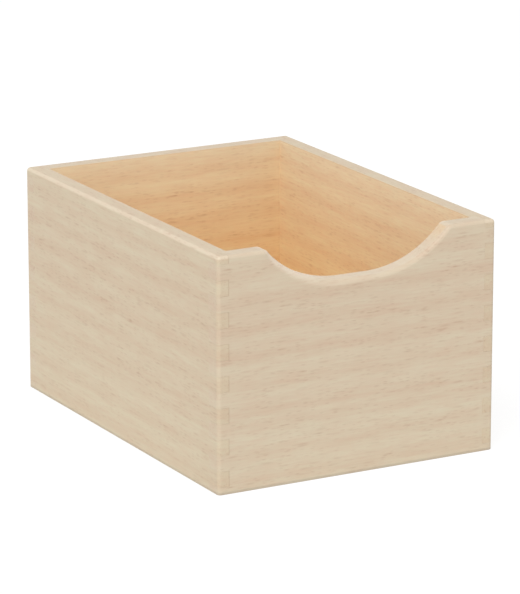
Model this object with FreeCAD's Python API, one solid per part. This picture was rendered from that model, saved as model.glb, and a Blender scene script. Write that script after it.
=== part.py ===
import FreeCAD, Part
import math
import os

# Picture book browser bin: an open-topped beech box with a scooped front, for books that stand
# on edge with their covers forward. Four panels are joined at the corners by finger joints with
# an inner shoulder, and a plywood base lies in grooves round their inner faces. The glued-up
# box then has all its edges rounded over in one go, so the rounds run on from panel to panel.
#
# Frame: millimetres, +Z up, front panel at -Y. The origin is the centre of the underside.

# The whole bin, outside
WIDTH = 312.0              # left to right
DEPTH = 425.0              # front to back
HEIGHT = 239.0             # from what it stands on to the rim

# Panels
SIDE_THICKNESS = 19.0      # left and right side
END_THICKNESS = 19.0       # front and back

# Corner joints
FINGER_HEIGHT = 16.0       # nearest to this that divides the height; half fingers at both ends
SHOULDER = 7.0             # inner part of a side's thickness that stops short of the fingers
SOCKET_RELIEF = 0.15       # how much deeper a socket is than the finger that fills it

# Scoop in the front panel
SCOOP_LAND = 50.0          # rim left standing on each side of the scoop, from the outside
SCOOP_DEPTH = 39.7         # from the rim down to the scoop's floor
SCOOP_FLOOR = 34.0         # straight stretch in the middle
SCOOP_SHOULDER = 7.5       # radius where the land turns down into the scoop

# Base
BASE_THICKNESS = 9.0
BASE_CLEARANCE_BELOW = 10.0  # from what the bin stands on to the base's underside
BASE_CORNER = 3.0          # radius of the base's own corners
GROOVE_DEPTH = 5.5         # how far the base reaches into each panel
GROOVE_PLAY = 0.25         # beyond the base's edges and above it, inside the groove

# Edges
OUTER_ROUND = 4.0          # outside of the rim and the four upright corners
INNER_ROUND = 1.5          # inside of the rim
FOOT_ROUND = 1.0           # arris round the outside of the bottom

OVERCUT = 2.0              # how far a cutter runs past the face that it enters
NEAR = 0.01                # two places closer than this are one

half_width = WIDTH / 2
half_depth = DEPTH / 2
inner_x = half_width - SIDE_THICKNESS
inner_y = half_depth - END_THICKNESS
finger_thickness = SIDE_THICKNESS - SHOULDER
scoop_floor_z = HEIGHT - SCOOP_DEPTH


def block(x0, x1, y0, y1, z0, z1):
    """Return a box between two opposite corners."""
    return Part.makeBox(x1 - x0, y1 - y0, z1 - z0, FreeCAD.Vector(x0, y0, z0))


def upright_block(half_x, half_y, z0, z1):
    """Return a box that is centred on the bin's upright axis."""
    return block(-half_x, half_x, -half_y, half_y, z0, z1)


def scoop_cutter():
    """Return the solid that the scoop takes out of the front panel.

    Each half of its outline is two arcs: a wide hollow one rises from the floor and turns
    without a corner into the small shoulder under the land.
    """
    half_opening = half_width - SCOOP_LAND
    run = half_opening - SCOOP_FLOOR / 2
    both_radii = (run**2 + SCOOP_DEPTH**2) / (2 * SCOOP_DEPTH)
    hollow = both_radii - SCOOP_SHOULDER
    turn = math.asin(run / both_radii)
    front = -half_depth - OVERCUT

    def hollow_point(angle):
        return SCOOP_FLOOR / 2 + hollow * math.sin(angle), scoop_floor_z + hollow * (1 - math.cos(angle))

    def shoulder_point(angle):
        return (half_opening - SCOOP_SHOULDER * math.sin(angle),
                HEIGHT - SCOOP_SHOULDER * (1 - math.cos(angle)))

    def place(point, side):
        return FreeCAD.Vector(side * point[0], front, point[1])

    edges = []
    for side in (1, -1):
        floor_end = place(hollow_point(0), side)
        meeting = place(hollow_point(turn), side)
        land_end = place(shoulder_point(0), side)
        above = FreeCAD.Vector(land_end.x, front, HEIGHT + OVERCUT)
        edges.append(Part.Arc(floor_end, place(hollow_point(turn / 2), side), meeting).toShape())
        edges.append(Part.Arc(meeting, place(shoulder_point(turn / 2), side), land_end).toShape())
        edges.append(Part.makeLine(land_end, above))
    floor = SCOOP_FLOOR / 2
    edges.append(Part.makeLine(FreeCAD.Vector(-floor, front, scoop_floor_z),
                               FreeCAD.Vector(floor, front, scoop_floor_z)))
    edges.append(Part.makeLine(FreeCAD.Vector(-half_opening, front, HEIGHT + OVERCUT),
                               FreeCAD.Vector(half_opening, front, HEIGHT + OVERCUT)))
    outline = Part.Wire(Part.__sortEdges__(edges))
    return Part.Face(outline).extrude(FreeCAD.Vector(0, END_THICKNESS + 2 * OVERCUT, 0))


def lies_on(edge, face_x, face_y):
    """Say whether an edge lies in one of the upright planes at +-face_x and +-face_y."""
    reach = edge.BoundBox
    in_side = abs(reach.XMax - reach.XMin) < NEAR and abs(abs(reach.XMax) - face_x) < NEAR
    in_end = abs(reach.YMax - reach.YMin) < NEAR and abs(abs(reach.YMax) - face_y) < NEAR
    return in_side or in_end


def rim_edges(shape, face_x, face_y):
    """Return the edges of the rim and of the scoop in the upright planes given."""
    lowest = scoop_floor_z - NEAR
    return [e for e in shape.Edges if e.BoundBox.ZMin > lowest and lies_on(e, face_x, face_y)]


def corner_edges(shape):
    """Return the four upright edges at the outside corners."""
    return [e for e in shape.Edges if e.BoundBox.ZLength > HEIGHT / 2
            and abs(abs(e.BoundBox.XMax) - half_width) < NEAR
            and abs(abs(e.BoundBox.YMax) - half_depth) < NEAR]


def foot_edges(shape):
    """Return the outer edges of the underside, with the bends at the corners."""
    return [e for e in shape.Edges if e.BoundBox.ZMax < NEAR
            and (max(abs(v.Point.x) for v in e.Vertexes) > inner_x + NEAR
                 or max(abs(v.Point.y) for v in e.Vertexes) > inner_y + NEAR)]


def glued_up_box():
    """Return the four walls in one piece, scooped, grooved and rounded over."""
    walls = upright_block(half_width, half_depth, 0, HEIGHT)
    walls = walls.cut(upright_block(inner_x, inner_y, -OVERCUT, HEIGHT + OVERCUT))
    walls = walls.cut(scoop_cutter())
    walls = walls.makeFillet(OUTER_ROUND, corner_edges(walls) + rim_edges(walls, half_width, half_depth))
    walls = walls.makeFillet(INNER_ROUND, rim_edges(walls, inner_x, inner_y))
    walls = walls.makeFillet(FOOT_ROUND, foot_edges(walls))
    return walls.cut(groove_cutter())


def groove_cutter():
    """Return the space that the grooves leave for the base, with its play."""
    reach = GROOVE_DEPTH + GROOVE_PLAY
    top = BASE_CLEARANCE_BELOW + BASE_THICKNESS + GROOVE_PLAY
    return upright_block(inner_x + reach, inner_y + reach, BASE_CLEARANCE_BELOW, top)


def comb_steps():
    """Return the lowest and highest Z of each step of the corner comb, from the bottom up."""
    count = max(2, round(HEIGHT / FINGER_HEIGHT))
    pitch = HEIGHT / count
    lines = [0.0] + [(k + 0.5) * pitch for k in range(count)] + [HEIGHT]
    return list(zip(lines, lines[1:]))


def cut_all(shape, cutters):
    """Return the shape with every cutter taken out of it, as one solid."""
    return shape.cut(Part.makeCompound(cutters)).Solids[0]


def end_panel(walls, facing):
    """Return the front (facing -1) or back (facing 1) panel, with sockets for the sides' fingers.

    The ends' own fingers are the even steps of the comb, and the sides' are the odd ones.
    """
    near, far = sorted((facing * inner_y, facing * (half_depth + OVERCUT)))
    panel = walls.common(block(-half_width - OVERCUT, half_width + OVERCUT, near, far, -OVERCUT,
                               HEIGHT + OVERCUT))
    socket_floor = half_width - finger_thickness - SOCKET_RELIEF
    sockets = []
    for bottom, top in comb_steps()[1::2]:
        for side in (1, -1):
            left, right = sorted((side * socket_floor, side * (half_width + OVERCUT)))
            sockets.append(block(left, right, near - OVERCUT, far + OVERCUT, bottom, top))
    return cut_all(panel, sockets)


def side_panel(walls, side):
    """Return the left (side -1) or right (side 1) panel, with its fingers and inner shoulders."""
    left, right = sorted((side * inner_x, side * (half_width + OVERCUT)))
    panel = walls.common(block(left, right, -half_depth - OVERCUT, half_depth + OVERCUT, -OVERCUT,
                               HEIGHT + OVERCUT))
    finger_x = side * (half_width - finger_thickness)
    waste = []
    for end in (1, -1):
        near, far = sorted((end * inner_y, end * (half_depth + OVERCUT)))
        left, right = sorted((side * (inner_x - OVERCUT), finger_x))
        waste.append(block(left, right, near, far, -OVERCUT, HEIGHT + OVERCUT))
        near, far = sorted((end * (inner_y - SOCKET_RELIEF), end * (half_depth + OVERCUT)))
        left, right = sorted((finger_x, side * (half_width + OVERCUT)))
        for bottom, top in comb_steps()[0::2]:
            waste.append(block(left, right, near, far, bottom, top))
    return cut_all(panel, waste)


def base_panel():
    """Return the base, which lies on the lower cheek of the grooves."""
    base = upright_block(inner_x + GROOVE_DEPTH, inner_y + GROOVE_DEPTH, BASE_CLEARANCE_BELOW,
                         BASE_CLEARANCE_BELOW + BASE_THICKNESS)
    corners = [e for e in base.Edges if e.BoundBox.ZLength > BASE_THICKNESS / 2]
    return base.makeFillet(BASE_CORNER, corners)


def main():
    """Build every panel and write it to its own file."""
    walls = glued_up_box()
    panels = {
        "front_panel": end_panel(walls, -1),
        "back_panel": end_panel(walls, 1),
        "left_side": side_panel(walls, -1),
        "right_side": side_panel(walls, 1),
        "base_panel": base_panel(),
    }
    os.makedirs("parts", exist_ok=True)
    for name, panel in panels.items():
        panel.exportStep(f"parts/{name}.step")
        print(name, "valid" if panel.isValid() else "NOT VALID", round(panel.Volume), "mm3")


main()
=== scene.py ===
"""Looks of a picture book browser bin: its boards, their finish, the stage, the light and the viewpoint.

Everything is in metres in the bin's own frame: +Z up, front panel at -Y, origin at the centre of the
underside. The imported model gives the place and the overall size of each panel. The boards are built
again here with finer rounds and with the hairlines of their corner joints, and the base keeps its
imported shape.
"""

from __future__ import annotations

import logging
import math
from collections.abc import Sequence
from dataclasses import dataclass
from enum import Enum
from functools import cache

import bmesh
import bpy
from mathutils import Euler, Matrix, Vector

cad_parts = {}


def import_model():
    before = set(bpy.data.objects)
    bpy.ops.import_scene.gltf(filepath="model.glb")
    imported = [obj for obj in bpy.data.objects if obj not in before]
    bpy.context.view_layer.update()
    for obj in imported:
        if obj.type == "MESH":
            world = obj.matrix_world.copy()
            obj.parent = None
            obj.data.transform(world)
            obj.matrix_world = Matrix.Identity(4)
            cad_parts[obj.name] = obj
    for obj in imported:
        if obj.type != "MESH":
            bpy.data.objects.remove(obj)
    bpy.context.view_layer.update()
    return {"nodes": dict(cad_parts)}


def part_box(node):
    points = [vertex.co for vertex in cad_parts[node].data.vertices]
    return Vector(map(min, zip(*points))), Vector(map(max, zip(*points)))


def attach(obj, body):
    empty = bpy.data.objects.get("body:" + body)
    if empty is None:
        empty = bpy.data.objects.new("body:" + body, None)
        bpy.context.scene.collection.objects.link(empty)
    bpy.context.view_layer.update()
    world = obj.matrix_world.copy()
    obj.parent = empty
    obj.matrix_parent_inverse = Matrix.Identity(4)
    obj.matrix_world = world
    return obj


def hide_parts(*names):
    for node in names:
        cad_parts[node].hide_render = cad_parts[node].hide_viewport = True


LOG = logging.getLogger("browser_bin")

MILLIMETRE = 0.001
QUARTER_TURN = math.pi / 2
WELD = 0.01 * MILLIMETRE  # points closer than this are one
CLEAR = 0.02 * MILLIMETRE  # keeps a cutter's face off the face beside it
BEYOND = 5 * MILLIMETRE  # how far a cutter runs past the wood
SMOOTH_TURN = math.radians(32.0)  # faces that meet at less than this shade as one round

Triple = tuple[float, float, float]
Screen = tuple[int, int, int]
Node = bpy.types.Node
Socket = bpy.types.NodeSocket
Tree = bpy.types.NodeTree


# Shapes
# ------


def eased(share: float) -> float:
    """Return a share from 0 to 1 with a soft start and end. What is beyond is held there."""
    held = min(max(share, 0.0), 1.0)
    return held * held * (3.0 - 2.0 * held)


def meshed(name: str, build: bmesh.types.BMesh) -> bpy.types.Mesh:
    """Turn what has been built into a mesh.

    Args:
        name: Name of the mesh.
        build: What has been built. It is used up.

    Returns:
        The mesh.
    """
    mesh = bpy.data.meshes.new(name)
    build.to_mesh(mesh)
    build.free()
    return mesh


@dataclass(frozen=True)
class CornerStation:
    """A place on the rounded upright corner of the walls.

    Attributes:
        corner: The sharp corner, at rim height, that the round replaces.
        turn: Angle round the corner, in the plan, from the X axis.
        radius: Radius of the outer round.
        sanded: What hand sanding adds to the rim's round there.
    """

    corner: Vector
    turn: float
    radius: float
    sanded: float = 0.0

    def _plan(self, inset: float) -> Vector:
        """Find a point of the plan.

        Args:
            inset: How far in from both faces it is.

        Returns:
            The point, at height 0.
        """
        centre = max(self.radius, inset)
        reach = max(self.radius - inset, 0.0)
        x = self.corner.x - math.copysign(centre, self.corner.x) + reach * math.cos(self.turn)
        y = self.corner.y - math.copysign(centre, self.corner.y) + reach * math.sin(self.turn)
        return Vector((x, y, 0.0))

    def on_rim(self, inset: float, drop: float) -> Vector:
        """Return a point by its way in from the outer face and down from the rim."""
        return self._plan(inset) + Vector((0.0, 0.0, self.corner.z - drop))

    def on_wall(self, inset: float, height: float) -> Vector:
        """Return the point that far in from the outer face and that high above the underside."""
        return self._plan(inset) + Vector((0.0, 0.0, height))


@dataclass(frozen=True)
class ScoopStation:
    """A place on the scoop, where the rim isn't level.

    Attributes:
        edge: The point of the scoop's line, in the plane of the front's outer face.
        outwards: Unit vector square to the line, out of the wood.
        sanded: What hand sanding adds to the radius of the outer round there.
    """

    edge: Vector
    outwards: Vector
    sanded: float

    def on_rim(self, inset: float, drop: float) -> Vector:
        """Return the point that far in from the front's face and that far into the wood."""
        return self.edge - drop * self.outwards + Vector((0.0, inset, 0.0))

    def on_wall(self, inset: float, height: float) -> Vector:
        """Return the point straight below the scoop's line, that high above the underside."""
        return Vector((self.edge.x, self.edge.y + inset, height))


Station = CornerStation | ScoopStation


@dataclass(frozen=True)
class Scoop:
    """The dip in the front panel's rim: a floor, two hollow flanks and two small shoulders.

    It was sawn and sanded by hand, so the left flank is a little fuller and rounder than the right.

    Attributes:
        left_land: Rim left standing on the left, from the outside of the bin.
        right_land: Rim left standing on the right.
        left_start: How far from the middle the left flank starts to rise.
        right_start: How far from the middle the right flank starts to rise.
        depth: From the rim down to the floor.
        shoulder: Radius where the land turns down into the scoop.
        left_sanded: What hand sanding adds to the outer round on the left.
        right_sanded: What it adds on the right.
        turning: Where the left's sanding starts, as a share of the way from the middle to the right land.
        run_out: Share of that way over which any sanding fades, beside a land.
        flank_steps: Straight steps in one hollow flank.
        shoulder_steps: Straight steps in one shoulder.
    """

    left_land: float = 51.0 * MILLIMETRE
    right_land: float = 50.0 * MILLIMETRE
    left_start: float = 14.5 * MILLIMETRE
    right_start: float = 17.0 * MILLIMETRE
    depth: float = 39.6 * MILLIMETRE
    shoulder: float = 7.5 * MILLIMETRE
    left_sanded: float = 4.5 * MILLIMETRE
    right_sanded: float = 0.6 * MILLIMETRE
    turning: float = 0.35
    run_out: float = 0.125
    flank_steps: int = 36
    shoulder_steps: int = 12

    def stations(self, corner: Vector) -> list[ScoopStation]:
        """Return the scoop's line from left to right.

        Args:
            corner: The front left corner of the walls at rim height.

        Returns:
            The stations of both halves.
        """
        left = self._half(corner, -1, self.left_start, self.left_land)
        return left[::-1] + self._half(corner, 1, self.right_start, self.right_land)

    def _half(self, corner: Vector, side: int, start: float, land: float) -> list[ScoopStation]:
        """Follow one half of the scoop's line.

        Args:
            corner: The front left corner of the walls at rim height.
            side: -1 for the left half, 1 for the right.
            start: How far from the middle its flank starts to rise.
            land: Rim left standing beside it.

        Returns:
            The stations of the half, from the floor up.
        """
        half_opening = abs(corner.x) - land
        run = half_opening - start
        both_radii = (run**2 + self.depth**2) / (2 * self.depth)
        turn = math.asin(run / both_radii)
        hollow = both_radii - self.shoulder
        rising = [turn * step / self.flank_steps for step in range(self.flank_steps + 1)]
        line = [(start + hollow * math.sin(a), hollow * (1 - math.cos(a)) - self.depth, a) for a in rising]
        easing = [turn * (1 - step / self.shoulder_steps) for step in range(1, self.shoulder_steps + 1)]
        line += [(half_opening - self.shoulder * math.sin(a), -self.shoulder * (1 - math.cos(a)), a)
                 for a in easing]
        return [ScoopStation(corner + Vector((side * along - corner.x, 0.0, up)),
                             Vector((-side * math.sin(slope), 0.0, math.cos(slope))),
                             self._sanded(side * along / half_opening))
                for along, up, slope in line]

    def _sanded(self, share: float) -> float:
        """Return what hand sanding adds to the outer round, from -1 at the left land to 1 at the right."""
        full = self.right_sanded + (self.left_sanded - self.right_sanded) * eased(self.turning - share)
        return full * eased((1.0 - abs(share)) / self.run_out)


@dataclass(frozen=True)
class Walls:
    """The four walls as they are glued up, rounded over and grooved, before they are told apart.

    Attributes:
        low: Lowest corner of the walls' box.
        high: Highest corner of the walls' box.
        thickness: Thickness of every wall.
        base_low: Height of the base's underside.
        base_high: Height of the base's top.
        scoop: The dip in the front.
        outer_round: Radius of the outside of the rim and of the upright corners.
        inner_round: Radius of the inside of the rim.
        foot_round: Radius round the outside of the underside.
        groove_depth: How far the groove for the base goes into each wall.
        groove_play: Room above the base in its groove.
        round_steps: Straight steps in a quarter turn of any round.
    """

    low: Vector
    high: Vector
    thickness: float
    base_low: float
    base_high: float
    scoop: Scoop
    outer_round: float = 4.0 * MILLIMETRE
    inner_round: float = 1.5 * MILLIMETRE
    foot_round: float = 1.0 * MILLIMETRE
    groove_depth: float = 5.75 * MILLIMETRE
    groove_play: float = 0.25 * MILLIMETRE
    round_steps: int = 10

    @property
    def inner_x(self) -> float:
        """How far the sides' inner faces are from the middle."""
        return self.high.x - self.thickness

    @property
    def inner_y(self) -> float:
        """How far the ends' inner faces are from the middle."""
        return self.high.y - self.thickness

    def _stations(self) -> list[Station]:
        """Walk once round the plan, from the back right corner.

        Returns:
            Every station on the way.
        """
        stations: list[Station] = []
        for quarter, (x, y) in enumerate(((self.high.x, self.high.y), (self.low.x, self.high.y),
                                          (self.low.x, self.low.y), (self.high.x, self.low.y))):
            corner = Vector((x, y, self.high.z))
            for step in range(self.round_steps + 1):
                turn = QUARTER_TURN * (quarter + step / self.round_steps)
                stations.append(CornerStation(corner, turn, self.outer_round))
            if x < 0 and y < 0:
                stations += self.scoop.stations(corner)
        return stations

    def _section(self, station: Station) -> list[Vector]:
        """Draw the outline of the wall at one place.

        Args:
            station: The place.

        Returns:
            The points of the closed outline, up the outside and down the inside.
        """
        turns = [QUARTER_TURN * step / self.round_steps for step in range(self.round_steps + 1)]
        groove_top = self.base_high + self.groove_play
        groove_back = self.thickness - self.groove_depth
        outline = [station.on_wall(self.foot_round * (1 - math.sin(a)), self.foot_round * (1 - math.cos(a)))
                   for a in turns]
        radius = self.outer_round + station.sanded
        outline += [station.on_rim(radius * (1 - math.cos(a)), radius * (1 - math.sin(a))) for a in turns]
        outline += [station.on_rim(self.thickness - self.inner_round * (1 - math.sin(a)),
                                   self.inner_round * (1 - math.cos(a))) for a in turns]
        outline += [station.on_wall(inset, height) for inset, height in (
            (self.thickness, groove_top), (groove_back, groove_top), (groove_back, self.base_low),
            (self.thickness, self.base_low), (self.thickness, 0.0))]
        return outline

    def mesh(self) -> bpy.types.Mesh:
        """Join the outlines of all stations by strips of faces.

        Returns:
            The walls as one closed mesh.
        """
        build = bmesh.new()
        sections = [[build.verts.new(point) for point in self._section(station)]
                    for station in self._stations()]
        for here, there in zip(sections, sections[1:] + sections[:1]):
            for k in range(len(here)):
                following = (k + 1) % len(here)
                build.faces.new((here[k], there[k], there[following], here[following]))
        bmesh.ops.remove_doubles(build, verts=build.verts, dist=WELD)
        bmesh.ops.recalc_face_normals(build, faces=build.faces)
        return meshed("walls", build)


@dataclass(frozen=True)
class Block:
    """A box for cutting wood with.

    Attributes:
        corner: One of its corners.
        opposite: The corner that is farthest from that one.
    """

    corner: Triple
    opposite: Triple

    def add_to(self, build: bmesh.types.BMesh) -> None:
        """Add the box's six faces.

        Args:
            build: The mesh that is being built.
        """
        one, other = Vector(self.corner), Vector(self.opposite)
        made = bmesh.ops.create_cube(build, size=1.0)["verts"]
        bmesh.ops.scale(build, verts=made, vec=[abs(reach) for reach in other - one])
        bmesh.ops.translate(build, verts=made, vec=(other + one) / 2)


class Cut(Enum):
    """What a cut keeps of the wood."""

    KEEP_INSIDE = "INTERSECT"
    KEEP_OUTSIDE = "DIFFERENCE"


def linked(name: str, data: bpy.types.ID) -> bpy.types.Object:
    """Put a new object into the scene.

    Args:
        name: Name of the object.
        data: Its mesh, lamp or camera.

    Returns:
        The object.
    """
    thing = bpy.data.objects.new(name, data)
    bpy.context.scene.collection.objects.link(thing)
    return thing


def evaluated(thing: bpy.types.Object) -> bpy.types.Mesh:
    """Return a new mesh of the object as its modifiers leave it."""
    depsgraph = bpy.context.evaluated_depsgraph_get()
    return bpy.data.meshes.new_from_object(thing.evaluated_get(depsgraph))


def cut(wood: bpy.types.Mesh, how: Cut, blocks: list[Block]) -> bpy.types.Mesh:
    """Cut a mesh with blocks that don't touch each other.

    Args:
        wood: The closed mesh to cut. It is used up.
        how: Whether the wood inside or outside the blocks is kept.
        blocks: The blocks.

    Returns:
        What is left, as a closed mesh.
    """
    build = bmesh.new()
    for block in blocks:
        block.add_to(build)
    tool_mesh = meshed("cutter", build)
    tool = linked("cutter", tool_mesh)
    body = linked("wood", wood)
    step = body.modifiers.new("cut", "BOOLEAN")
    step.operation = how.value
    step.solver = "EXACT"
    step.object = tool
    result = evaluated(body)
    for thing in (tool, body):
        bpy.data.objects.remove(thing)
    for mesh in (tool_mesh, wood):
        bpy.data.meshes.remove(mesh)
    return result


def finished(name: str, wood: bpy.types.Mesh) -> bpy.types.Object:
    """Turn cut wood into a piece whose flats shade flat and whose rounds shade round.

    Args:
        name: Name of the piece.
        wood: Its closed mesh. It is used up.

    Returns:
        The piece.
    """
    build = bmesh.new()
    build.from_mesh(wood)
    bmesh.ops.remove_doubles(build, verts=build.verts, dist=WELD)
    bmesh.ops.dissolve_degenerate(build, edges=build.edges, dist=WELD)
    bmesh.ops.recalc_face_normals(build, faces=build.faces)
    build.to_mesh(wood)
    build.free()
    wood.shade_smooth()
    wood.set_sharp_from_angle(angle=SMOOTH_TURN)
    piece = linked(name, wood)
    weighting = piece.modifiers.new("weighted normals", "WEIGHTED_NORMAL")
    weighting.keep_sharp = True
    piece.data = evaluated(piece)
    piece.modifiers.clear()
    piece.data.name = name
    bpy.data.meshes.remove(wood)
    return piece


@dataclass(frozen=True)
class Comb:
    """The finger joints at the corners, which have an inner shoulder.

    The ends' own fingers are the even steps, counted from the bottom, and the sides' the odd ones.

    Attributes:
        height: Height of the walls.
        finger_height: A full finger. The comb starts and ends with half a finger.
        shoulder: Inner part of a side's thickness that stops short of the fingers.
        hairline: Width of the joint line between two panels.
        slack: How much thinner the left side's fingers are than their sockets are deep.
    """

    height: float
    finger_height: float = 16.0 * MILLIMETRE
    shoulder: float = 7.0 * MILLIMETRE
    hairline: float = 0.10 * MILLIMETRE
    slack: float = 0.08 * MILLIMETRE

    def steps(self, first: int) -> list[tuple[float, float]]:
        """Find every second step.

        Args:
            first: The first one, counted from 0 at the bottom.

        Returns:
            The lowest and highest place of each.
        """
        count = round(self.height / self.finger_height)
        pitch = self.height / count
        lines = [-BEYOND] + [(k + 0.5) * pitch for k in range(count)] + [self.height + BEYOND]
        return list(zip(lines, lines[1:]))[first::2]


@dataclass(frozen=True)
class Panels:
    """Tells the four panels of the glued-up walls apart.

    Attributes:
        walls: The walls.
        comb: Their corner joints.
    """

    walls: Walls
    comb: Comb

    def end(self, name: str, facing: int) -> bpy.types.Object:
        """Build the front or the back panel.

        Args:
            name: Name of the piece.
            facing: -1 for the front panel, 1 for the back panel.

        Returns:
            The panel, with sockets for the sides' fingers.
        """
        walls, play = self.walls, self.comb.hairline / 2
        wide, long, tall = (high + BEYOND for high in walls.high)
        inner = walls.inner_y - CLEAR
        wood = cut(walls.mesh(), Cut.KEEP_INSIDE, [
            Block((-wide, facing * inner, -BEYOND), (wide, facing * long, tall))])
        floor = walls.inner_x + self.comb.shoulder - play
        sockets = [Block((side * floor, facing * (inner - BEYOND), low - play),
                         (side * wide, facing * (long + BEYOND), high + play))
                   for low, high in self.comb.steps(1) for side in (-1, 1)]
        return finished(name, cut(wood, Cut.KEEP_OUTSIDE, sockets))

    def side(self, name: str, side: int) -> bpy.types.Object:
        """Build the left or the right side.

        Args:
            name: Name of the piece.
            side: -1 for the left, 1 for the right.

        Returns:
            The panel, with its fingers and the shoulders behind them.
        """
        walls, play = self.walls, self.comb.hairline / 2
        wide, long, tall = (high + BEYOND for high in walls.high)
        inner = walls.inner_x - CLEAR
        wood = cut(walls.mesh(), Cut.KEEP_INSIDE, [
            Block((side * inner, -long, -BEYOND), (side * wide, long, tall))])
        back_of_finger = walls.inner_x + self.comb.shoulder + play
        if side < 0:
            back_of_finger += self.comb.slack
        shoulders = [Block((side * (inner - BEYOND), facing * (walls.inner_y - CLEAR), -BEYOND),
                           (side * back_of_finger, facing * long, tall)) for facing in (-1, 1)]
        notches = [Block((side * (back_of_finger - BEYOND), facing * (walls.inner_y - play), low - play),
                         (side * wide, facing * long, high + play))
                   for facing in (-1, 1) for low, high in self.comb.steps(0)]
        wood = cut(wood, Cut.KEEP_OUTSIDE, shoulders)
        return finished(name, cut(wood, Cut.KEEP_OUTSIDE, notches))


# Shader building blocks
# ----------------------


@dataclass(frozen=True)
class Figure:
    """One kind of mottling in wood.

    Attributes:
        stretch: Its waves in a metre along the grain, up the board and through it.
        detail: How many times finer waves are laid over them.
    """

    stretch: Triple
    detail: float


# Figures, each named after what it mottles or bends.
FIBRES = Figure((90.0, 1300.0, 1300.0), 2.0)
GLOSS_PATCHES = Figure((26.0, 300.0, 120.0), 2.0)
TONE_PATCHES = Figure((24.0, 180.0, 60.0), 3.0)
TONE_STREAKS = Figure((30.0, 520.0, 150.0), 2.0)
PINK_PATCHES = Figure((45.0, 210.0, 90.0), 2.0)
FLECK_CROWDS = Figure((18.0, 80.0, 40.0), 1.0)
FLECK_BENDS = Figure((90.0, 90.0, 90.0), 1.0)
RING_BENDS = Figure((5.0, 9.0, 9.0), 1.0)
VENEER_CLOUDS = Figure((5.0, 22.0, 22.0), 3.0)
VENEER_VEINS = Figure((14.0, 240.0, 240.0), 3.0)
CONTRAST = (0.3, 0.7)  # strengths of a figure below which it is off and above which it is full
STRONG_CONTRAST = (0.35, 0.65)

WHITE = (1.0, 1.0, 1.0, 1.0)
MIX_FIRST, MIX_SECOND, MIXED = 6, 7, 2  # numbers of the Mix node's sockets for colours


def decoded(value: int) -> float:
    """Return one channel of a colour as a screen shows it, 0 to 255, in the shaders' own scale."""
    share = value / 255
    return share / 12.92 if share <= 0.04045 else ((share + 0.055) / 1.055) ** 2.4


def linear(colour: Screen) -> tuple[float, ...]:
    """Return a colour as a screen shows it in the shaders' own scale, opaque."""
    return *map(decoded, colour), 1.0


class Wiring:
    """A short way to add nodes to one tree and join them."""

    def __init__(self, tree: Tree) -> None:
        """Keep the tree that the nodes go into."""
        self.tree = tree

    @classmethod
    def of(cls, owner: bpy.types.Material | bpy.types.World) -> Wiring:
        """Empty the tree of a new material or world.

        Args:
            owner: The material or the world.

        Returns:
            The wiring of its tree.
        """
        owner.use_nodes = True
        owner.node_tree.nodes.clear()
        return cls(owner.node_tree)

    def node(self, kind: str, settings: dict[str, object] | None = None,
             inputs: dict[str | int, object] | Sequence[object] = ()) -> Node:
        """Add a node.

        Args:
            kind: Its type, without the ShaderNode in front.
            settings: Values of its own properties.
            inputs: Sockets or constants that feed its own sockets, by name, by number or in order.

        Returns:
            The node.
        """
        node = self.tree.nodes.new(f"ShaderNode{kind}")
        for name, value in (settings or {}).items():
            setattr(node, name, value)
        for key, value in inputs.items() if isinstance(inputs, dict) else enumerate(inputs):
            self.feed(node.inputs[key], value)
        return node

    def feed(self, socket: Socket, value: object) -> None:
        """Feed a socket.

        Args:
            socket: The socket.
            value: Another socket to join it to, or a constant.
        """
        if isinstance(value, Socket):
            self.tree.links.new(value, socket)
        else:
            socket.default_value = value

    def math(self, operation: str, *values: object, clamp: bool = False) -> Socket:
        """Return the result of one sum on up to three values."""
        return self.node("Math", {"operation": operation, "use_clamp": clamp}, values).outputs[0]

    def weighed(self, start: float, *parts: tuple[float, Socket]) -> Socket:
        """Add up values by weight.

        Args:
            start: What they are added to.
            parts: The weight of each value, and the value.

        Returns:
            The sum.
        """
        total: object = start
        for weight, part in parts:
            total = self.math("MULTIPLY_ADD", part, weight, total)
        return total

    def vector(self, operation: str, *vectors: object) -> Socket:
        """Return the result of one sum on one or two vectors."""
        node = self.node("VectorMath", {"operation": operation}, vectors)
        return node.outputs["Value" if operation in ("DOT_PRODUCT", "DISTANCE") else "Vector"]

    def axes(self, vector: Socket) -> Sequence[Socket]:
        """Return the three parts of a vector."""
        return self.node("SeparateXYZ", inputs=(vector,)).outputs

    def joined(self, *parts: object) -> Socket:
        """Return the vector that has three parts."""
        return self.node("CombineXYZ", inputs=parts).outputs[0]

    def between(self, value: object, start: object, end: object) -> Socket:
        """Return how far a value has gone from start to end, eased, from 0 to 1."""
        inputs = {"Value": value, "From Min": start, "From Max": end}
        return self.node("MapRange", {"interpolation_type": "SMOOTHSTEP"}, inputs).outputs["Result"]

    def figure(self, place: Socket, figure: Figure) -> Socket:
        """Return how strong some mottling is at a place, from about 0 to 1."""
        inputs = {"Vector": self.vector("MULTIPLY", place, figure.stretch), "Scale": 1.0,
                  "Detail": figure.detail}
        return self.node("TexNoise", {"noise_dimensions": "3D"}, inputs).outputs["Fac"]

    def mix(self, factor: object, first: object, second: object, blend: str = "MIX") -> Socket:
        """Return a colour between two others, or the first with that much of the second blended in."""
        settings = {"data_type": "RGBA", "clamp_factor": True, "blend_type": blend}
        return self.node("Mix", settings, {0: factor, MIX_FIRST: first, MIX_SECOND: second}).outputs[MIXED]

    def group(self, tree: Tree, inputs: dict[str, object]) -> Sequence[Socket]:
        """Place a group, feed its inputs and return its outputs."""
        return self.node("Group", {"node_tree": tree}, inputs).outputs

    def show(self, shader: Node, kind: str = "OutputMaterial") -> None:
        """Make a shader what the tree shows."""
        self.node(kind, inputs={"Surface": shader.outputs[0]})


# Shader groups of the wood
# -------------------------

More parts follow.
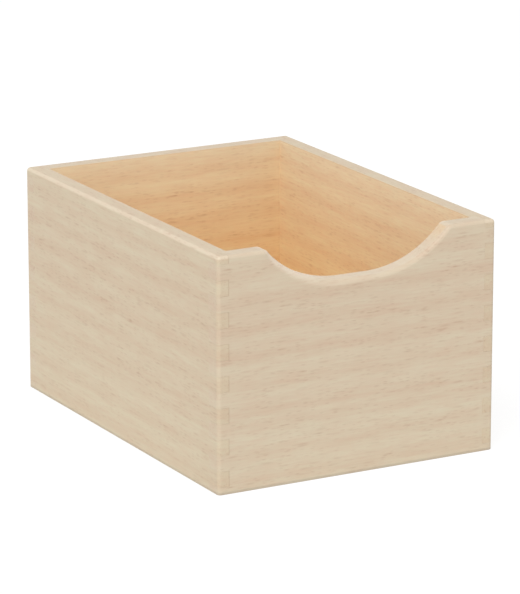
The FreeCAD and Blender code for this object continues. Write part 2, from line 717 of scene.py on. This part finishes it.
# How much a face has to look some way before it counts a little, and before it counts in full: the
# cosine of the angle between the two directions.
FACES_THAT_WAY = (0.05, 0.45)
FACES_ALONG_GRAIN = (0.75, 0.98)
FACES_INWARDS = (0.93, 1.0)
LIP_FACES_INWARDS = (0.55, 0.80)
# Which way the scoop's faces look where they get its painted highlight and its painted shade.
FLANK_HIGHLIGHT_FACING = (0.08, 0.42)
ROUND_SHADE_FACING = (0.0, -0.36)

# Where a thing ends, and where it is full.
PAST_OPENING = (3 * MILLIMETRE, -1 * MILLIMETRE)  # the scoop's finish, beyond its opening
GLUE_STAIN = (0.9 * MILLIMETRE, 0.4 * MILLIMETRE)  # the glue line, beyond a socket's floor
# The far corner's tone is a painted shade.
FAR_CORNER = (150 * MILLIMETRE, 0.0)  # the tone of the far corner, by the way from it
FLECK_BODY = (0.50, 0.05)  # a fleck, from its middle, in its own lengths
RING_PALES = (0.5, 0.0)  # a growth ring, above its line, in ring spacings
RING_DARKENS = (0.62, 1.0)  # the same, below the next ring's line

FLECK_FAINT_SHARE = 0.25  # share of all places where flecks are faint
FLECK_STRAY = 0.8 * MILLIMETRE  # how far a fleck bends from its line
RING_STRAY = 10 * MILLIMETRE  # how far a growth ring does
LEAST_ROUGHNESS = 0.42
MORE_ROUGHNESS = 0.16  # what the gloss's patches add to it


def group_tree(name: str, vectors: list[str], values: list[str],
               results: list[str]) -> tuple[Wiring, Sequence[Socket], Sequence[Socket]]:
    """Start a shader group.

    Args:
        name: Name of the group.
        vectors: Names of the inputs that are vectors.
        values: Names of the inputs that are values.
        results: Names of the outputs, which are all values.

    Returns:
        The wiring of its tree, the sockets that hold its inputs and those that take its outputs.
    """
    tree = bpy.data.node_groups.new(name, "ShaderNodeTree")
    for names, direction, kind in ((vectors, "INPUT", "Vector"), (values, "INPUT", "Float"),
                                   (results, "OUTPUT", "Float")):
        for socket_name in names:
            tree.interface.new_socket(name=socket_name, in_out=direction, socket_type=f"NodeSocket{kind}")
    return Wiring(tree), tree.nodes.new("NodeGroupInput").outputs, tree.nodes.new("NodeGroupOutput").inputs


@cache
def fleck_group() -> Tree:
    """Build the group for the short dark dashes of beech, which lie along the grain.

    Returns:
        The group.
    """
    wires, given, result = group_tree("ray_flecks", ["Place"], ["Length", "Width", "Share"], ["Mask"])
    bend = wires.figure(given["Place"], FLECK_BENDS)
    shift = wires.math("MULTIPLY_ADD", bend, 2 * FLECK_STRAY, -FLECK_STRAY)
    place = wires.vector("ADD", given["Place"], wires.joined(0.0, shift, shift))
    scaled = wires.vector("DIVIDE", place, wires.joined(given["Length"], given["Width"], given["Width"]))
    cells = wires.node("TexVoronoi", {"voronoi_dimensions": "3D", "feature": "F1"},
                       {"Vector": scaled, "Scale": 1.0, "Randomness": 1.0})
    draw = wires.node("SeparateColor", inputs={"Color": cells.outputs["Color"]}).outputs[0]
    body = wires.between(cells.outputs["Distance"], *FLECK_BODY)
    absent = wires.math("SUBTRACT", 1.0, given["Share"])
    there = wires.between(draw, absent, wires.math("ADD", absent, FLECK_FAINT_SHARE))
    wires.feed(result["Mask"], wires.math("MULTIPLY", body, there))
    return wires.tree


@cache
def ring_group() -> Tree:
    """Build the group for growth rings that a flat-sawn stave shows as faint bands along its length.

    A band darkens quickly upwards and pales slowly again.

    Returns:
        The group.
    """
    wires, given, result = group_tree("growth_rings", ["Place"], ["First", "Spacing"], ["Shade"])
    _, height, _ = wires.axes(given["Place"])
    bend = wires.figure(given["Place"], RING_BENDS)
    wandered = wires.math("MULTIPLY_ADD", bend, RING_STRAY, height)
    above_first = wires.math("SUBTRACT", wandered, given["First"])
    share = wires.math("FRACT", wires.math("DIVIDE", above_first, given["Spacing"]))
    pales, darkens = wires.between(share, *RING_PALES), wires.between(share, *RING_DARKENS)
    wires.feed(result["Shade"], wires.math("MAXIMUM", pales, darkens))
    return wires.tree


@cache
def end_grain_group() -> Tree:
    """Build the group that tells end grain from long grain by the way a face looks.

    Returns:
        The group.
    """
    wires, given, result = group_tree("end_grain", ["Facing", "Grain"], [], ["Mask"])
    along = wires.vector("DOT_PRODUCT", given["Facing"], given["Grain"])
    wires.feed(result["Mask"], wires.between(wires.math("ABSOLUTE", along), *FACES_ALONG_GRAIN))
    return wires.tree


@cache
def glue_group() -> Tree:
    """Build the group for the dark line that glue leaves in end grain along the floor of a socket.

    Returns:
        The group.
    """
    wires, given, result = group_tree("glue_line", ["Place"], ["Across", "Line"], ["Mask"])
    x, _, _ = wires.axes(given["Place"])
    beyond = wires.math("SUBTRACT", wires.math("ABSOLUTE", x), given["Line"])
    wires.feed(result["Mask"], wires.math("MULTIPLY", wires.between(beyond, *GLUE_STAIN), given["Across"]))
    return wires.tree


@cache
def inside_group() -> Tree:
    """Build the group that finds the walls' inner faces, the rounds above them and places on them.

    Returns:
        The group.
    """
    wires, given, result = group_tree("inside_of_bin", ["Place", "Facing", "Far Corner"], ["Rim", "Bottom"],
                                      ["Lip", "Mask", "Depth", "Far"])
    corner = wires.vector("SIGN", given["Place"])
    inwards = wires.vector("DOT_PRODUCT", wires.vector("MULTIPLY", corner, (-1.0, -1.0, 0.0)),
                           given["Facing"])
    wires.feed(result["Lip"], wires.between(inwards, *LIP_FACES_INWARDS))
    wires.feed(result["Mask"], wires.between(inwards, *FACES_INWARDS))
    _, _, height = wires.axes(given["Place"])
    depth = wires.node("MapRange", inputs={"Value": height, "From Min": given["Rim"],
                                           "From Max": given["Bottom"]})
    wires.feed(result["Depth"], depth.outputs["Result"])
    plan = wires.vector("MULTIPLY", given["Place"], (1.0, 1.0, 0.0))
    away = wires.vector("DISTANCE", plan, given["Far Corner"])
    wires.feed(result["Far"], wires.between(away, *FAR_CORNER))
    return wires.tree


@cache
def rim_group() -> Tree:
    """Build the group that finds the outer rounds along the rim, which get a painted highlight.

    Returns:
        The group.
    """
    wires, given, result = group_tree("rim_rounds", ["Place", "Facing"], [], ["Mask"])
    corner = wires.vector("SIGN", given["Place"])
    sideways, endways, up = wires.axes(wires.vector("MULTIPLY", corner, given["Facing"]))
    outwards = wires.between(wires.math("MAXIMUM", sideways, endways), *FACES_THAT_WAY)
    upwards = wires.between(up, *FACES_THAT_WAY)
    wires.feed(result["Mask"], wires.math("MULTIPLY", upwards, outwards))
    return wires.tree


@cache
def scoop_group() -> Tree:
    """Build the group that tells the faces of the scoop apart.

    Its sawn face and its left flank, which faces right, get a painted highlight, and the round along its
    right flank, which faces left, a painted shade.

    Returns:
        The group.
    """
    wires, given, result = group_tree("scoop_faces", ["Place", "Facing"], ["Rounds", "Opening"],
                                      ["Sawn", "Flank Highlight", "Round Shade"])
    x, _, _ = wires.axes(given["Place"])
    beyond = wires.math("SUBTRACT", wires.math("ABSOLUTE", x), given["Opening"])
    across, _, up = wires.axes(given["Facing"])
    upper = wires.math("MULTIPLY", wires.between(beyond, *PAST_OPENING),
                       wires.between(up, *FACES_THAT_WAY))
    flat = wires.math("SUBTRACT", 1.0, given["Rounds"])
    wires.feed(result["Sawn"], wires.math("MULTIPLY", upper, flat))
    lit_flank = wires.between(across, *FLANK_HIGHLIGHT_FACING)
    wires.feed(result["Flank Highlight"], wires.math("MULTIPLY", upper, lit_flank))
    shaded_flank = wires.math("MULTIPLY", upper, wires.between(across, *ROUND_SHADE_FACING))
    wires.feed(result["Round Shade"], wires.math("MULTIPLY", shaded_flank, given["Rounds"]))
    return wires.tree


@cache
def fibre_group() -> Tree:
    """Build the group for the sanded fibres: a fine relief and a wavering gloss.

    Returns:
        The group.
    """
    wires, given, result = group_tree("sanded_fibres", ["Place"], [], ["Relief", "Roughness"])
    wires.feed(result["Relief"], wires.figure(given["Place"], FIBRES))
    wires.feed(result["Roughness"], wires.weighed(
        LEAST_ROUGHNESS, (MORE_ROUGHNESS, wires.figure(given["Place"], GLOSS_PATCHES))))
    return wires.tree


# Finishes
# --------

# Heights above the underside.
STAVE_JOINT = 73 * MILLIMETRE  # where the two staves of a panel meet
UPPER_STAVE = (66 * MILLIMETRE, 80 * MILLIMETRE)  # where the upper one's tone starts and is full
HEART_FROM_BELOW = (120 * MILLIMETRE, 136 * MILLIMETRE)  # the same for the tone of its heart
HEART_FROM_ABOVE = (204 * MILLIMETRE, 188 * MILLIMETRE)
FOOT_SHADE_HEIGHTS = (3.8 * MILLIMETRE, 1.8 * MILLIMETRE)  # where the painted shade along the foot ends and where it is full
FIRST_RING = 16.5 * MILLIMETRE  # a ring's line in the lower stave
UPPER_RINGS = 14 * MILLIMETRE  # how much higher the upper stave's rings lie

RING_SPACING = 27.4 * MILLIMETRE
LONG_FLECKS = {"Length": 20 * MILLIMETRE, "Width": 3.2 * MILLIMETRE, "Share": 0.6}
SHORT_FLECKS = {"Length": 9 * MILLIMETRE, "Width": 2 * MILLIMETRE, "Share": 0.7}
SHORT_FLECKS_ASIDE = (0.31, 0.17, 0.05)  # keeps them from lying on the long ones
ALONG_LOG, THROUGH_LOG = 0.37, 0.21  # from one board's place in the log to the next
RELIEF = {"Strength": 0.4, "Distance": 0.02 * MILLIMETRE}
EDGE_FACES_UP = (0.6, 0.3)  # how much a face of the plywood still may


class Grain(Enum):
    """Which way a board's fibres run."""

    LEFT_TO_RIGHT = (1.0, 0.0, 0.0)
    FRONT_TO_BACK = (0.0, 1.0, 0.0)


@dataclass(frozen=True)
class Tone:
    """The two colours that one stretch of the wood wanders between."""

    pale: Screen
    rosy: Screen

    def at(self, wires: Wiring, share: Socket) -> Socket:
        """Return the colour that far from pale to rosy."""
        return wires.mix(share, linear(self.pale), linear(self.rosy))


@dataclass(frozen=True)
class Timber:
    """The colours of the boards that were sawn from one log.

    Attributes:
        outside: Tone of the faces that look outwards.
        inside_high: Tone of the inner faces just under the rim, painted paler than the outside as painted
            light.
        inside_low: Tone of the inner faces just above the base, paler and more orange as painted light and
            painted bounce light.
        painted_highlight: How far the outer rounds of the rim lean to the colour of the painted highlight.
    """

    outside: Tone
    inside_high: Tone
    inside_low: Tone
    painted_highlight: float


# The inner tones are painted light: paler than the outside to lift the shade inside the bin, and more
# orange towards the base as painted bounce light. The last value is the painted highlight on the rim's
# outer rounds.
ENDS_TIMBER = Timber(
    outside=Tone((216, 203, 177), (209, 186, 160)),
    inside_high=Tone((249, 234, 200), (240, 213, 178)),
    inside_low=Tone((239, 203, 139), (230, 182, 118)),
    painted_highlight=0.10)
SIDES_TIMBER = Timber(
    outside=Tone((215, 202, 174), (208, 185, 157)),
    inside_high=Tone((253, 239, 205), (244, 217, 184)),
    inside_low=Tone((242, 214, 156), (233, 192, 134)),
    painted_highlight=0.36)


def lacquer(wires: Wiring, place: Socket, colour: Socket) -> None:
    """Make sanded wood under a clear satin lacquer what a material shows.

    Args:
        wires: The material's wiring.
        place: The place in the board's own directions.
        colour: The wood's colour.
    """
    fibres = wires.group(fibre_group(), {"Place": place})
    relief = wires.node("Bump", inputs={**RELIEF, "Height": fibres["Relief"]})
    wires.show(wires.node("BsdfPrincipled", inputs={
        "Base Color": colour, "Roughness": fibres["Roughness"], "Normal": relief.outputs[0]}))


@dataclass(frozen=True)
class BeechFinish:
    """Sanded beech under a clear satin lacquer.

    Attributes:
        name: Name of the material.
        timber: Colours of the log.
        grain: Which way the fibres run.
        log_place: Where along and through the log the board was sawn, so that no two boards are alike.
        rim: Height of the bin's rim.
        bottom: Height of the top of its base.
        far_corner: The inside corner, in the plan, toward which the inner faces darken as painted shade.
        socket_floor: How far from the middle plane the floors of the sockets are.
        glue: How dark the glue line is there.
        opening: Half the width of the scoop's opening, or 0 in a panel without one.
        sawn: How far the scoop's sawn face leans to the colour of the painted highlight.
        flank_highlight: How far the scoop's left flank leans to the colour of the painted highlight.
        right_round_shade: How far the round along the scoop's right flank leans to end grain, a painted
            shade.
        across: How far a face that looks along the grain leans to the colour of end grain.
        fleck: What the ray flecks take of the ground colour.
        edge: Colour of the painted highlight on the rim's outer rounds and on the scoop.
        lip_shade: Colour of the small round inside the rim, a painted shade where the rim turns down into
            the bin.
        end: Colour that end grain and the glue line lean to, also used as painted shade on the scoop's
            right round.
        corner_shade: What the far corner keeps of the ground colour, a painted shade.
        foot_shade: What the lowest edge keeps of it, a painted shade along the foot.
        blush: What pinker patches keep of it.
    """

    name: str
    timber: Timber
    grain: Grain
    log_place: Triple
    rim: float
    bottom: float
    far_corner: Triple
    socket_floor: float
    glue: float
    opening: float
    sawn: float = 0.20
    flank_highlight: float = 0.55
    right_round_shade: float = 0.20
    across: float = 0.03
    fleck: Screen = (203, 168, 150)
    edge: Screen = (240, 225, 204)
    lip_shade: Screen = (219, 191, 150)
    end: Screen = (188, 154, 124)
    corner_shade: Screen = (249, 249, 249)
    foot_shade: Screen = (235, 235, 236)
    blush: Screen = (255, 252, 252)

    def material(self) -> bpy.types.Material:
        """Wire the finish up.

        Returns:
            A new material.
        """
        material = bpy.data.materials.new(self.name)
        wires = Wiring.of(material)
        surface = wires.node("TexCoord").outputs
        board = self._board_place(wires, surface["Object"])
        share = self._tone(wires, board)
        colour = self._ground(wires, surface["Object"], surface["Normal"], share)
        pink = wires.between(wires.figure(board, PINK_PATCHES), *STRONG_CONTRAST)
        colour = wires.mix(pink, colour, linear(self.blush), "MULTIPLY")
        colour = wires.mix(self._flecks(wires, board, share), colour, linear(self.fleck), "MULTIPLY")
        lacquer(wires, board, colour)
        return material

    def _board_place(self, wires: Wiring, place: Socket) -> Socket:
        """Turn a place into the board's own directions.

        Args:
            wires: The material's wiring.
            place: The place on the bin.

        Returns:
            The place along the grain, up the board and through it.
        """
        x, y, z = wires.axes(place)
        along, through = (x, y) if self.grain is Grain.LEFT_TO_RIGHT else (y, x)
        return wires.vector("ADD", wires.joined(along, z, through), self.log_place)

    def _ground(self, wires: Wiring, place: Socket, facing: Socket, share: Socket) -> Socket:
        """Colour the wood by where on the bin the place is, with painted light and shade.

        Args:
            wires: The material's wiring.
            place: The place on the bin.
            facing: Which way the surface looks there.
            share: How far the wood leans to its rosy colour.

        Returns:
            The colour without blushes and flecks.
        """
        timber = self.timber
        inside = wires.group(inside_group(), {"Place": place, "Facing": facing, "Rim": self.rim,
                                              "Bottom": self.bottom, "Far Corner": self.far_corner})
        # Painted light inside the bin: paler under the rim, more orange towards the base as painted bounce
        # light.
        inner = wires.mix(inside["Depth"], timber.inside_high.at(wires, share),
                          timber.inside_low.at(wires, share))
        # Painted shade: the inner faces darken towards the far corner.
        inner = wires.mix(inside["Far"], inner, linear(self.corner_shade), "MULTIPLY")
        # Painted shade on the small round inside the rim.
        ground = wires.mix(inside["Lip"], timber.outside.at(wires, share), linear(self.lip_shade))
        ground = wires.mix(inside["Mask"], ground, inner)

        # Painted highlight on the rim's outer rounds, the scoop's sawn face and its left flank; painted
        # shade on the round along its right flank.
        rounds = wires.group(rim_group(), {"Place": place, "Facing": facing})["Mask"]
        across = wires.group(end_grain_group(), {"Facing": facing, "Grain": self.grain.value})["Mask"]
        painted_highlight, dark = [(timber.painted_highlight, rounds)], [(self.across, across)]
        if self.opening > 0.0:
            scoop = wires.group(scoop_group(), {"Place": place, "Facing": facing, "Rounds": rounds,
                                                "Opening": self.opening})
            painted_highlight += [(self.sawn, scoop["Sawn"]), (self.flank_highlight, scoop["Flank Highlight"])]
            dark.append((self.right_round_shade, scoop["Round Shade"]))
        if self.glue > 0.0:
            line = wires.group(glue_group(), {"Place": place, "Across": across, "Line": self.socket_floor})
            dark.append((self.glue, line["Mask"]))
        ground = wires.mix(wires.weighed(0.0, *painted_highlight), ground, linear(self.edge))
        ground = wires.mix(wires.weighed(0.0, *dark), ground, linear(self.end))

        # Painted shade along the foot: the lowest few millimetres are darker.
        _, _, height = wires.axes(place)
        return wires.mix(wires.between(height, *FOOT_SHADE_HEIGHTS), ground, linear(self.foot_shade), "MULTIPLY")

    @staticmethod
    def _tone(wires: Wiring, board: Socket) -> Socket:
        """Lay out the figure of the wood.

        Args:
            wires: The material's wiring.
            board: The place in the board's own directions.

        Returns:
            How far the wood leans to its rosy colour, from 0 to 1.
        """
        _, height, _ = wires.axes(board)
        above_joint = wires.math("GREATER_THAN", height, STAVE_JOINT)
        rings = wires.group(ring_group(), {
            "Place": board, "First": wires.weighed(FIRST_RING, (UPPER_RINGS, above_joint)),
            "Spacing": RING_SPACING})["Shade"]
        upper_stave = wires.between(height, *UPPER_STAVE)
        heart = wires.math("MULTIPLY", wires.between(height, *HEART_FROM_BELOW),
                           wires.between(height, *HEART_FROM_ABOVE))
        patches = wires.between(wires.figure(board, TONE_PATCHES), *CONTRAST)
        streaks = wires.between(wires.figure(board, TONE_STREAKS), *CONTRAST)
        total = wires.weighed(-0.10, (0.14, upper_stave), (0.13, heart), (0.34, rings), (0.29, patches),
                              (0.28, streaks))
        return wires.math("ADD", total, 0.0, clamp=True)

    @staticmethod
    def _flecks(wires: Wiring, board: Socket, rosy: Socket) -> Socket:
        """Strew the ray flecks, which crowd where the wood is rosy.

        Args:
            wires: The material's wiring.
            board: The place in the board's own directions.
            rosy: How far the wood leans to its rosy colour.

        Returns:
            How much they darken it.
        """
        crowds = wires.between(wires.figure(board, FLECK_CROWDS), *STRONG_CONTRAST)
        long = wires.group(fleck_group(), {"Place": board, **LONG_FLECKS})["Mask"]
        aside = wires.vector("ADD", board, SHORT_FLECKS_ASIDE)
        short = wires.group(fleck_group(), {"Place": aside, **SHORT_FLECKS})["Mask"]
        both = wires.weighed(0.0, (0.26, short), (0.24, long))
        crowding = wires.weighed(0.12, (0.6, rosy), (0.5, crowds))
        return wires.math("MULTIPLY", both, crowding, clamp=True)


@dataclass(frozen=True)
class PlywoodFinish:
    """Birch plywood under the same lacquer.

    Attributes:
        name: Name of the material.
        face: Tone of the outer veneers.
        glue: Colour of the darker plies in its edges.
        ply: Thickness of one ply.
    """

    name: str
    face: Tone = Tone((233, 206, 160), (224, 192, 143))
    glue: Screen = (176, 136, 92)
    ply: float = 1.8 * MILLIMETRE

    def material(self) -> bpy.types.Material:
        """Wire the finish up.

        Returns:
            A new material.
        """
        material = bpy.data.materials.new(self.name)
        wires = Wiring.of(material)
        surface = wires.node("TexCoord").outputs
        x, y, z = wires.axes(surface["Object"])
        sheet = wires.joined(y, x, z)
        clouds = wires.between(wires.figure(sheet, VENEER_CLOUDS), *CONTRAST)
        veins = wires.between(wires.figure(sheet, VENEER_VEINS), *CONTRAST)
        face = self.face.at(wires, wires.weighed(0.0, (0.4, veins), (0.6, clouds)))
        _, _, up = wires.axes(surface["Normal"])
        edge = wires.between(wires.math("ABSOLUTE", up), *EDGE_FACES_UP)
        turn = wires.math("PINGPONG", z, self.ply)
        dark = wires.math("MULTIPLY", wires.between(turn, 0.40 * self.ply, 0.60 * self.ply), edge)
        colour = wires.mix(wires.math("MULTIPLY", dark, 0.7), face, linear(self.glue))
        lacquer(wires, sheet, colour)
        return material


# Stage, light and viewpoint
# --------------------------


@dataclass(frozen=True)
class Viewpoint:
    """The camera.

    Attributes:
        place: Where it stands.
        pitch: How far it looks down from the level, in degrees.
        yaw: How far it looks to the right of straight back, in degrees.
        lens: Focal length, in millimetres.
        sensor: The longer side of the sensor, in millimetres.
        sight: How far it sees.
    """

    place: Triple = (-1.8268, -3.3406, 1.1686)
    pitch: float = 15.28
    yaw: float = 28.758
    lens: float = 233.54
    sensor: float = 36.0
    sight: float = 50.0

    def set_up(self) -> None:
        """Add the camera and make it the scene's own."""
        camera = bpy.data.cameras.new("viewpoint")
        camera.lens = self.lens
        camera.sensor_width = self.sensor
        camera.clip_end = self.sight
        holder = linked("viewpoint", camera)
        holder.location = self.place
        holder.rotation_euler = Euler((math.radians(90.0 - self.pitch), 0.0, math.radians(-self.yaw)))
        bpy.context.scene.camera = holder


@dataclass(frozen=True)
class SoftBox:
    """A large soft lamp that looks at the bin.

    Attributes:
        name: Name of the lamp.
        direction: Where it stands, seen from the bin.
        distance: How far away it stands.
        size: Length of its square's side.
        watts: Its power.
        aim: Height above the ground that it looks at.
    """

    name: str
    direction: Triple
    distance: float
    size: float
    watts: float
    aim: float = 0.12

    def set_up(self) -> None:
        """Add the lamp to the scene."""
        lamp = bpy.data.lights.new(self.name, "AREA")
        lamp.size = self.size
        lamp.energy = self.watts
        holder = linked(self.name, lamp)
        towards = Vector(self.direction).normalized()
        holder.location = towards * self.distance + Vector((0.0, 0.0, self.aim))
        holder.rotation_euler = towards.to_track_quat("Z", "Y").to_euler()
        holder.visible_camera = False


@dataclass(frozen=True)
class Studio:
    """White ground and surroundings with soft light from all round.

    Attributes:
        sky: Strength of the light that comes from all round.
        floor_size: Length of the floor's side.
        floor_colour: Share of the light that the floor throws back.
        floor_light: Strength of the floor's own light, where it is seen.
        floor_glow: Share of the floor's white that no shadow dims.
    """

    sky: float = 0.585
    floor_size: float = 12.0
    floor_colour: float = 0.9
    floor_light: float = 1.08
    floor_glow: float = 0.8

    def set_up(self) -> None:
        """Add the floor and the surroundings, and set the view transform."""
        self._add_floor()
        self._add_surroundings()
        bpy.context.scene.view_settings.view_transform = "Standard"

    @staticmethod
    def _seen(wires: Wiring) -> Socket:
        """Return 1 for rays that show what they meet, at once or in a reflection, and 0 for the rest."""
        rays = wires.node("LightPath").outputs
        return wires.math("MAXIMUM", rays["Is Camera Ray"], wires.math(
            "MAXIMUM", rays["Is Glossy Ray"], rays["Is Transmission Ray"]))

    def _add_floor(self) -> None:
        """Add the floor, which keeps a little of the bin's shadow."""
        build = bmesh.new()
        bmesh.ops.create_grid(build, x_segments=1, y_segments=1, size=self.floor_size / 2)
        floor = linked("floor", meshed("floor", build))
        material = bpy.data.materials.new("white_floor")
        wires = Wiring.of(material)
        paper = wires.node("BsdfDiffuse", inputs={"Color": (self.floor_colour,) * 3 + (1.0,)})
        glow = wires.node("Emission", inputs={"Color": WHITE, "Strength": self.floor_light})
        share = wires.math("MULTIPLY", self._seen(wires), self.floor_glow)
        wires.show(wires.node("MixShader", inputs=(share, paper.outputs[0], glow.outputs[0])))
        floor.data.materials.append(material)

    def _add_surroundings(self) -> None:
        """Light the scene from all round, with a plain white behind the bin."""
        world = bpy.data.worlds.new("surroundings")
        wires = Wiring.of(world)
        strength = wires.weighed(self.sky, (1.0 - self.sky, self._seen(wires)))
        wires.show(wires.node("Background", inputs={"Color": WHITE, "Strength": strength}), "OutputWorld")
        bpy.context.scene.world = world


def main() -> None:
    """Build the bin's looks piece by piece."""
    logging.basicConfig(level=logging.INFO, format="%(name)s: %(message)s")
    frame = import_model()
    low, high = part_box("front_panel")
    side_low, side_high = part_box("left_side")
    base_low, base_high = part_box("base_panel")
    walls = Walls(
        low=Vector((low.x, side_low.y, low.z)),
        high=Vector((high.x, side_high.y, high.z)),
        thickness=side_high.x - side_low.x,
        base_low=base_low.z,
        base_high=base_high.z,
        scoop=Scoop())
    panels = Panels(walls, Comb(height=high.z))
    pieces = {
        "front_panel": panels.end("front_board", -1),
        "back_panel": panels.end("back_board", 1),
        "left_side": panels.side("left_board", -1),
        "right_side": panels.side("right_board", 1),
    }
    for number, (node, piece) in enumerate(pieces.items()):
        end = node in ("front_panel", "back_panel")
        finish = BeechFinish(
            name=node + "_beech",
            timber=ENDS_TIMBER if end else SIDES_TIMBER,
            grain=Grain.LEFT_TO_RIGHT if end else Grain.FRONT_TO_BACK,
            log_place=(ALONG_LOG * number, 0.0, THROUGH_LOG * number),
            rim=high.z,
            bottom=base_high.z,
            far_corner=(walls.inner_x, walls.inner_y, 0.0),
            socket_floor=walls.inner_x + panels.comb.shoulder,
            glue=0.20 if node == "left_side" else 0.0,
            opening=walls.high.x - walls.scoop.right_land if node == "front_panel" else 0.0)
        piece.data.materials.append(finish.material())
        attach(piece, "root")
        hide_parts(node)
        LOG.info("%s: %d faces", piece.name, len(piece.data.polygons))
    base = frame["nodes"]["base_panel"]
    base.material_slots[0].material = PlywoodFinish("base_panel_birch").material()
    SoftBox("key", direction=(-0.43, -0.43, 0.795), distance=14.0, size=7.0, watts=1085.0).set_up()
    Studio().set_up()
    Viewpoint().set_up()


if __name__ == "__main__":
    main()
